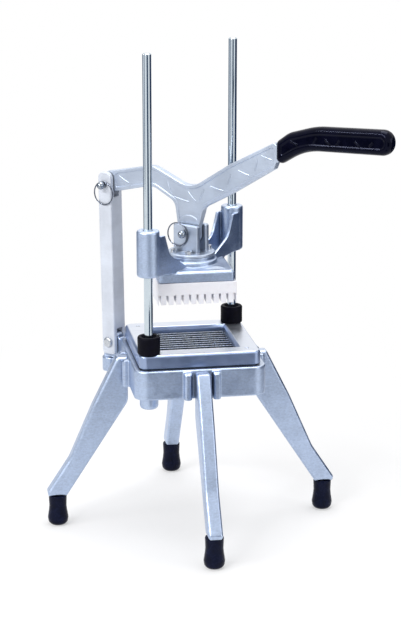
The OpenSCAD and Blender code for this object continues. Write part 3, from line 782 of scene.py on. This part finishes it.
class CUTTER_OT_blades(bpy.types.Operator):
    """Two crossed sets of blade strips with sharpened edges"""
    bl_idname = "cutter.blades"
    bl_label = "Blades"

    def execute(self, context):
        edge = context.scene.cutter_shape.blade_edge / MM
        thick, high, reach = 0.4, 4.7, 62.2
        for name, turn in (("upper", 0), ("lower", 90)):
            top = BLADE_TOPS[name]
            profile = [(-thick, top - high), (thick, top - high), (thick, top - edge),
                       (0.1, top), (-0.1, top), (-thick, top - edge)]
            bm = bmesh.new()
            for i in range(-BLADES_EACH_SIDE, BLADES_EACH_SIDE + 1):
                y = i * BLADE_PITCH
                ends = [add_ring(bm, [(x, y + w, z) for w, z in profile])
                        for x in (-reach, reach)]
                bridge(bm, *ends)
                cap(bm, [ends[0]], True)
                cap(bm, [ends[1]])
            finish_piece(f"blade_strips_{name}", bm, "frame", "blade", (f"blades_{name}",),
                         Matrix.Rotation(math.radians(turn), 4, "Z"), 25)
        return {"FINISHED"}


class CUTTER_OT_guide_rods(bpy.types.Operator):
    """Two polished rods with rounded ends"""
    bl_idname = "cutter.guide_rods"
    bl_label = "Guide Rods"

    def execute(self, context):
        profile = rounded([(0, 196.7, 0), (5.2, 196.7, 0.4), (6, 197.6, 0.4), (6, 670.6, 0.9),
                           (4.7, 671.9, 0.7), (0, 672, 0)], 5, closed=False)
        turned_pieces("polished_rod", "guide_rod", "rod", profile, 64, ROD_PLACES)
        return {"FINISHED"}


class CUTTER_OT_bumpers(bpy.types.Operator):
    """Two rubber bumpers with a sunk cone round each rod"""
    bl_idname = "cutter.bumpers"
    bl_label = "Bumpers"

    def execute(self, context):
        low, top = PLATE_TOP, PLATE_TOP + 24.2
        profile = rounded([(6.05, low, 0), (14.9, low, 0.7), (15.5, low + 1.4, 0.9),
                           (15.35, low + 12.5, 30), (15.5, top - 1.9, 1.1), (14.3, top, 0.7),
                           (10.9, top - 0.1, 0.8), (6.05, top - 6, 0)], 6, closed=False)
        turned_pieces("rubber_bumper", "bumper", "bumper", profile, 72, ROD_PLACES)
        return {"FINISHED"}


class CUTTER_OT_head_casting(bpy.types.Operator):
    """Head with its guide bosses, webs, cap and round seat"""
    bl_idname = "cutter.head_casting"
    bl_label = "Head Casting"

    def execute(self, context):
        cast_piece("head_shell", "head_casting", "head", "cast", 0.78)
        return {"FINISHED"}


class CUTTER_OT_clevis(bpy.types.Operator):
    """Forked bracket that carries the lever"""
    bl_idname = "cutter.clevis"
    bl_label = "Clevis"

    def execute(self, context):
        cast_piece("clevis_bracket", "clevis", "head", "satin", 0.5, 1, DIAGONAL)
        return {"FINISHED"}


class CUTTER_OT_pusher(bpy.types.Operator):
    """White block with a finger for each cell of the blade grid"""
    bl_idname = "cutter.pusher"
    bl_label = "Pusher"

    def execute(self, context):
        bm = bmesh.new()
        half, slot, low, root, top = 54.0, 1.5, 328.0, 341.0, 357.5
        edges = [-half] + [k * BLADE_PITCH + s
                           for k in range(-BLADES_EACH_SIDE, BLADES_EACH_SIDE + 1)
                           for s in (-slot, slot)] + [half]
        spans = list(zip(edges[::2], edges[1::2]))

        def box_ring(x0, x1, y0, y1, c, r, z):
            r = min(r, (x1 - x0) / 2 - c - 0.02, (y1 - y0) / 2 - c - 0.02)
            return level_ring(bm, box_outline(x0 + c, x1 - c, y0 + c, y1 - c, r, 3), z)

        for x0, x1 in spans:
            for y0, y1 in spans:
                slim = min(x1 - x0, y1 - y0) < 3
                tip = 0.2 if slim else 1.5
                rings = [box_ring(x0, x1, y0, y1, c, r, z) for c, r, z in
                         ((tip, 0.5, low), (tip * 0.55, 0.6, low + 0.25 * tip + 0.05),
                          (tip * 0.2, 0.6, low + 0.75 * tip + 0.1),
                          (0.0, 0.5, low + 1.3 * tip + 0.2), (0.0, 0.5, root + 0.3))]
                skin(bm, rings)
                cap(bm, [rings[0]], True)
        rings = [box_ring(-half, half, -half, half, c, r, z) for c, r, z in
                 ((0.3, 0.8, root), (0, 0.9, root + 0.3), (0, 1, top - 0.9),
                  (0.3, 1.2, top - 0.3), (0.9, 1.3, top))]
        skin(bm, rings)
        cap(bm, [rings[0]], True)
        cap(bm, [rings[-1]])
        finish_piece("pusher_block", bm, "head", "plastic", ("pusher",), None, 40)
        return {"FINISHED"}


# The lever's outline from its rear end round under it to the grip, then back along its top.
ARM = [(-150.5, 37.5, 12), (-119, 43.5, 0), (-62, 57.5, 26), (-24, 39.5, 15), (-18.5, 4, 0),
       (-16, -14.5, 11), (15.5, -14.5, 11), (15, 8, 0), (24, 37.1, 10), (68, 60.5, 0),
       (141, 105.1, 0)]
ARM_TOP = [(141, 140.4, 0), (66, 101.5, 60), (2, 61, 40), (-62, 86, 28), (-150.5, 66.5, 12)]
GRIP = [(141, 106.4, 7.5), (185, 132.7, 90), (315, 139.2, 16.5), (315, 173, 16.5),
        (200, 166.3, 110), (159, 154, 35), (141, 141, 7.5)]
RIBS = [((-121, 64), (-104, 56)), ((-58, 60), (-36, 50)), ((-37, 66), (-30, 50)),
        ((-25, 46), (-1, 42)), ((-2, 56), (11, 44)), ((24, 62), (17, 46)), ((35, 68), (57, 64)),
        ((68, 88), (63, 72)), ((80, 95), (98, 90)), ((111, 114), (107, 97)),
        ((117, 119), (134, 115))]
GRIP_RIBS = [((165, 144), (176, 140)), ((205, 153), (200, 144)), ((218, 152), (226.5, 144)),
             ((240, 153), (234, 145)), ((262, 154), (270, 147)), ((289, 155), (283, 149))]


def panel_outline():
    """The sunk panel of the lever: inside a border, and outside the pivot's round boss."""
    border = inset_corners(ARM + ARM_TOP, 4)
    boss, first, last, steps = 23.0, 135.3, 52.6, 14
    turns = [math.radians(first - k * (first - last) / steps) for k in range(steps + 1)]
    arc = [(boss * math.cos(a), boss * math.sin(a), 0) for a in turns]
    return rounded([(-127, 46.6, 3), *border[2:4], (-17.2, 21, 0), *arc, (14.7, 20.5, 0),
                    *border[8:10], (137, 107.4, 3), (137, 133.8, 3), *border[12:15],
                    (-127, 67.6, 3)], 10)


def ridge(bm, a, b, width, height, base, steps=12):
    """A low rounded rib from a to b, as (x, z), on the face at y = base that looks along -Y."""
    a, b = Vector(a), Vector(b)
    path = [a.lerp(b, i / steps) for i in range(steps + 1)]
    rings = []
    for i, p in enumerate(path):
        u = (path[min(i + 1, steps)] - path[max(i - 1, 0)]).normalized()
        side = Vector((-u.y, u.x)) * (width / 2)
        taper = math.sin(math.pi * min(max(i / steps, 0.04), 0.96)) ** 0.45
        ring = []
        for across in (-1.0, -0.75, -0.35, 0.0, 0.35, 0.75, 1.0):
            rise = height * taper * (1 - across ** 2) ** 0.8 if abs(across) < 1 else -0.1
            ring.append((p.x + side.x * across, base - rise, p.y + side.y * across))
        rings.append(add_ring(bm, ring))
    skin(bm, rings, closed=False)


def ridges(bm, paths, width, height, base):
    """Ribs along straight lines on both faces of a plate, which lie at y = base and -base."""
    for a, b in paths:
        for side in (-1, 1):
            before = set(bm.verts)
            ridge(bm, a, b, width, height, -base)
            if side > 0:
                bmesh.ops.scale(bm, vec=(1, -1, 1), verts=[v for v in bm.verts if v not in before])


def sunk_face(bm, side, t, edge_ring, holes, panel, steps):
    """Closes a face of a plate t thick, with a panel sunk by steps of (inset, depth)."""
    rings = [add_ring(bm, [(p.x, side * (t / 2 - d), p.y) for p in inset(panel, c)])
             for c, d in steps]
    skin(bm, rings)
    cap(bm, [edge_ring, *holes, rings[0]], side > 0)
    cap(bm, [rings[-1]], side > 0)


class CUTTER_OT_lever(bpy.types.Operator):
    """Y-shaped lever with sunk panels and zigzag ribs"""
    bl_idname = "cutter.lever"
    bl_label = "Lever"

    def execute(self, context):
        shape = context.scene.cutter_shape
        t, depth = 11.0, 1.2
        tang = inset_corners(GRIP, 4.2)
        corners = ARM[:-1] + [(137.5, 102.9, 3), (141.01, 112, 0)] \
            + [(x, z, max(r - 4, 0)) for x, z, r in tang[1:-1]] \
            + [(141.01, 135.5, 0), (137.5, 138.6, 3)] + ARM_TOP[1:]
        bm = bmesh.new()
        edges = plate_rings(bm, rounded(corners, 12), t, soft_edge(1.1))
        bores = bore_rings(bm, 6.0, t)
        for side, edge_ring, bore in zip((-1, 1), edges, bores):
            sunk_face(bm, side, t, edge_ring, [bore], panel_outline(),
                      ((0, 0), (0.25, 0.08), (0.45, 0.3), (0.75, 0.85), (1.0, 1.12), (1.4, depth)))
        ridges(bm, RIBS, shape.rib_width / MM, shape.rib_height / MM, t / 2 - depth)
        finish_piece("lever_casting", bm, "lever", "satin", ("lever_arm",),
                     at_pivot(HEAD_PIVOT), 32)
        return {"FINISHED"}


class CUTTER_OT_grip(bpy.types.Operator):
    """Dipped vinyl grip, with ribs that show through it"""
    bl_idname = "cutter.grip"
    bl_label = "Grip"

    def execute(self, context):
        bm = bmesh.new()
        half, reach, steps, border, depth = 9.5, 6.6, 9, 8.2, 0.9
        turns = [math.pi / 2 * k / steps for k in range(steps, 0, -1)]
        edge = [(0.05 + reach * (1 - math.cos(a)), half * (1 - math.sin(a))) for a in turns]
        edges = plate_rings(bm, rounded(GRIP, 12), 2 * half, edge)
        panel = rounded([(x, z, max(r - border, 3.5))
                         for x, z, r in inset_corners(GRIP, border)], 10)
        for side, edge_ring in zip((-1, 1), edges):
            sunk_face(bm, side, 2 * half, edge_ring, [], panel,
                      ((0, 0), (0.4, 0.06), (1.0, 0.35), (1.7, 0.75), (2.3, 0.88), (3.0, depth)))
        ridges(bm, GRIP_RIBS, 3.8, 1.0, half - depth)
        finish_piece("vinyl_grip", bm, "lever", "vinyl", ("grip",), at_pivot(HEAD_PIVOT), 60)
        return {"FINISHED"}


class CUTTER_OT_link(bpy.types.Operator):
    """Forked bar from the lever down to the body"""
    bl_idname = "cutter.link"
    bl_label = "Link"

    def execute(self, context):
        filleted_piece("link_bar", "link", "link", "link", 0.5, 3)
        return {"FINISHED"}


class CUTTER_OT_ring_pins(bpy.types.Operator):
    """Quick-release pins with their ball ends and pull rings"""
    bl_idname = "cutter.ring_pins"
    bl_label = "Ring Pins"

    def execute(self, context):
        wire = context.scene.cutter_shape.ring_wire / MM / 2
        neck_r, neck_len, ball_r, ring_r = 3, 3.4, 5.5, 17
        arc = [math.radians(34 + 146 * k / 16) for k in range(17)]
        for name, pivot, across, angle in (("head", HEAD_PIVOT, 29.0, 192),
                                           ("link", LINK_PIVOT, 26.0, 270)):
            half = across / 2
            ball = half + neck_len + ball_r - 1
            profile = [(0, -half - 4), (2.6, -half - 4), (3.4, -half - 3.7), (4, -half - 2.9),
                       (4, half - 0.4), (3.7, half), (neck_r, half + 0.1), (neck_r, ball - 4.7)]
            profile += [(ball_r * math.sin(a), ball - ball_r * math.cos(a)) for a in arc]
            bm = bmesh.new()
            lathe(bm, profile, segments=48, axis=LAID_DOWN)
            finish_piece(f"quick_pin_{name}", bm, f"{name}_pin", "pin", (f"{name}_pin",),
                         at_pivot(pivot), 40)
            bm = bmesh.new()
            rings = [add_ring(bm, [((ring_r - wire + wire * u) * x, wire * w,
                                    (ring_r - wire + wire * u) * z) for u, w in circle(16)])
                     for x, z in circle(72)]
            skin(bm, rings + rings[:1])
            hung = Matrix.Translation((ring_r - 2 * wire - neck_r - 0.3, -half - neck_len / 2, 0))
            place = at_pivot(pivot) @ Matrix.Rotation(math.radians(-angle), 4, "Y") @ hung
            finish_piece(f"pull_ring_{name}", bm, f"{name}_pin_ring", "ring",
                         (f"{name}_pin_ring",), place, 60)
        return {"FINISHED"}


class CUTTER_OT_fasteners(bpy.types.Operator):
    """Bolt, nut, screws and bushings"""
    bl_idname = "cutter.fasteners"
    bl_label = "Fasteners"

    def execute(self, context):
        profile = rounded([(0, 17, 0), (5.6, 16.6, 3), (7.1, 15.2, 0.8), (7.25, 13.05, 0.2),
                           (5, 13, 0.2), (5, -13, 0.1), (4, -13.1, 0.1), (4, -20.9, 0.5),
                           (3.2, -21.4, 0.2), (0, -21.4, 0)], 5, closed=False)
        bm = bmesh.new()
        lathe(bm, profile, segments=56, axis=LAID_DOWN)
        finish_piece("pivot_bolt", bm, "link", "zinc", ("link_bolt",), at_pivot(LUG_PIVOT), 40)
        filleted_piece("pivot_nut", "link_nut", "link", "zinc", 0.5, 2)
        filleted_piece("clamp_screws", "head_screws", "head", "zinc", 0.35, 2)
        filleted_piece("plate_screws", "blade_frame_screws", "frame", "zinc", 0.3, 2)
        for node, finish in (("leg_screws", "zinc"), ("lug_bushing", "bronze"),
                             ("lever_bushing", "bronze"), ("guide_bushing_left", "bronze"),
                             ("guide_bushing_right", "bronze")):
            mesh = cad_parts[node].data
            mesh.materials.clear()
            mesh.materials.append(material(finish))
        return {"FINISHED"}


class CUTTER_OT_stage(bpy.types.Operator):
    """Pale floor, soft lights, glowing cards seen only in reflections, and the camera"""
    bl_idname = "cutter.stage"
    bl_label = "Stage"

    def execute(self, context):
        scene = context.scene
        lights = scene.cutter_stage
        scene.view_settings.view_transform = "Standard"

        focal_pixels, photo_height = 1893.1, 622
        camera_data = bpy.data.cameras.new("photo_camera")
        camera_data.lens = focal_pixels / photo_height * 36
        camera_data.shift_x = 0.0068
        camera_data.shift_y = 0.0179
        camera_data.clip_end = 100
        camera = linked("photo_camera", camera_data)
        camera.location = (-0.4058, -2.5017, 1.0035)
        camera.rotation_euler = (math.radians(90 - 15.783), 0, math.radians(-9.371))
        scene.camera = camera

        floor = sheet("floor", [(-30, -30, 0), (30, -30, 0), (30, 30, 0), (-30, 30, 0)],
                      floor_material())

        world = bpy.data.worlds.new("studio")
        world.use_nodes = True
        scene.world = world
        tree = world.node_tree
        background = tree.nodes["Background"]
        background.inputs["Color"].default_value = (1, 1, 1, 1)
        tree.links.new(ramp(tree, seen_rays(tree), 0, 1, lights.sky, 1.0),
                       background.inputs["Strength"])

        add_light("key_light", (-2.45, -1.35, 2.3), (0, 0, 0.35), 2.4, lights.key_power, 0.16)
        add_light("fill_light", (2.4, -1.6, 1.2), (0, 0, 0.35), 1.4, lights.fill_power)
        add_light("top_light", (0.2, 0.3, 2.8), (0, 0, 0.3), 1.8, lights.top_power)
        add_light("strip_light", (-1.5, -1.9, 1.9), (0.1, 0, 0.45), 0.1, lights.strip_power, 1.3)
        # Cards glowing in dark blues and seen only in reflections: painted dark reflections on the
        # metal.
        for name, *values in (
                ("card_in_front", -88, 1.25, 0.86, (0.13, 0.54), (0.065, 0.10, 0.155)),
                ("low_card_in_front", -82, 0.6, 0.34, (0.002, 0.18), (0.04, 0.07, 0.13)),
                ("card_at_right", 10, 0.78, 1.4, (0.002, 0.75), (0.03, 0.05, 0.10)),
                ("card_behind_left", 133, 0.7, 0.8, (0.2, 0.75), (0.20, 0.24, 0.30)),
                ("low_card_at_left", 194.4, 2.45, 0.9, (0.002, 0.42), (0.12, 0.15, 0.22))):
            reflection_card(name, *values)
        return {"FINISHED"}


def seen_rays(tree):
    """1 for the rays that see the background: straight, mirrored or through glass."""
    path = tree.nodes.new("ShaderNodeLightPath")
    seen = math_of(tree, "MAXIMUM", path.outputs["Is Camera Ray"], path.outputs["Is Glossy Ray"])
    return math_of(tree, "MAXIMUM", seen, path.outputs["Is Transmission Ray"])


def floor_material():
    """A matte floor that fades into the white background away from the cutter."""
    made = bpy.data.materials.new("pale_floor")
    made.use_nodes = True
    tree = made.node_tree
    tree.nodes.clear()
    out = tree.nodes.new("ShaderNodeOutputMaterial")
    matte = put(tree, "ShaderNodeBsdfDiffuse", Color=(0.86, 0.86, 0.87, 1))
    glow = put(tree, "ShaderNodeEmission", Color=(1, 1, 1, 1), Strength=1.0)
    distance = put(tree, "ShaderNodeVectorMath", {"operation": "LENGTH"}, i0=coordinates(tree))
    far = ramp(tree, distance.outputs["Value"], 0.2, 0.9, 0.45, 1.0)
    mix = put(tree, "ShaderNodeMixShader", i0=times(tree, far, seen_rays(tree)),
              i1=matte.outputs[0], i2=glow.outputs[0])
    tree.links.new(mix.outputs[0], out.inputs["Surface"])
    return made


def add_light(name, at, aim, size, power, length=None):
    data = bpy.data.lights.new(name, "AREA")
    data.energy = power
    data.size = size
    if length:
        data.shape = "RECTANGLE"
        data.size_y = length
    light = linked(name, data)
    light.location = at
    light.rotation_euler = (Vector(aim) - Vector(at)).to_track_quat("-Z", "Y").to_euler()


def sheet(name, corners, finish):
    mesh = bpy.data.meshes.new(name)
    mesh.from_pydata(corners, [], [(0, 1, 2, 3)])
    mesh.materials.append(finish)
    return linked(name, mesh)


def reflection_card(name, bearing, away, width, heights, glow):
    """A card glowing faintly in the colour glow, standing in the direction of bearing, which only
    mirrors see: a painted dark reflection.
    """
    made, _, _ = start_material(name, 0.0, Roughness=1.0, Specular_IOR_Level=0.0,
                                Base_Color=(0, 0, 0, 1), Emission_Color=rgba(glow),
                                Emission_Strength=1.0)
    towards = Matrix.Rotation(math.radians(bearing), 3, "Z")
    low, high = heights
    card = sheet(name, [towards @ Vector((away, side * width / 2, z))
                        for side, z in ((-1, low), (1, low), (1, high), (-1, high))], made)
    for rays in ("camera", "diffuse", "shadow", "transmission"):
        setattr(card, f"visible_{rays}", False)


# ---- Panel, registration and the order of making ----

OPERATORS = (CUTTER_OT_body_casting, CUTTER_OT_legs, CUTTER_OT_feet, CUTTER_OT_blade_frame,
             CUTTER_OT_blades, CUTTER_OT_guide_rods, CUTTER_OT_bumpers, CUTTER_OT_head_casting,
             CUTTER_OT_clevis, CUTTER_OT_pusher, CUTTER_OT_lever, CUTTER_OT_grip,
             CUTTER_OT_link, CUTTER_OT_ring_pins, CUTTER_OT_fasteners, CUTTER_OT_stage)
GROUPS = {"cutter_finish": CutterFinish, "cutter_shape": CutterShape,
          "cutter_stage": CutterStage}


class CUTTER_PT_panel(bpy.types.Panel):
    """Sizes, finishes and making steps of the fry cutter"""
    bl_idname = "CUTTER_PT_panel"
    bl_label = "Fry Cutter"
    bl_space_type = "VIEW_3D"
    bl_region_type = "UI"
    bl_category = "Fry Cutter"

    def draw(self, context):
        for heading, key in (("Finish", "cutter_finish"), ("Shape", "cutter_shape"),
                             ("Stage", "cutter_stage")):
            box = self.layout.box()
            box.label(text=heading)
            for setting in GROUPS[key].__annotations__:
                box.prop(getattr(context.scene, key), setting)
        column = self.layout.column(align=True)
        for made in OPERATORS:
            column.operator(made.bl_idname)


CLASSES = (*GROUPS.values(), *OPERATORS, CUTTER_PT_panel)


def register():
    for cls in CLASSES:
        bpy.utils.register_class(cls)
    for key, cls in GROUPS.items():
        setattr(bpy.types.Scene, key, PointerProperty(type=cls))


def unregister():
    for key in GROUPS:
        delattr(bpy.types.Scene, key)
    for cls in reversed(CLASSES):
        bpy.utils.unregister_class(cls)


def main():
    register()
    for made in OPERATORS:
        group, name = made.bl_idname.split(".")
        getattr(getattr(bpy.ops, group), name)()


if __name__ == "__main__":
    main()
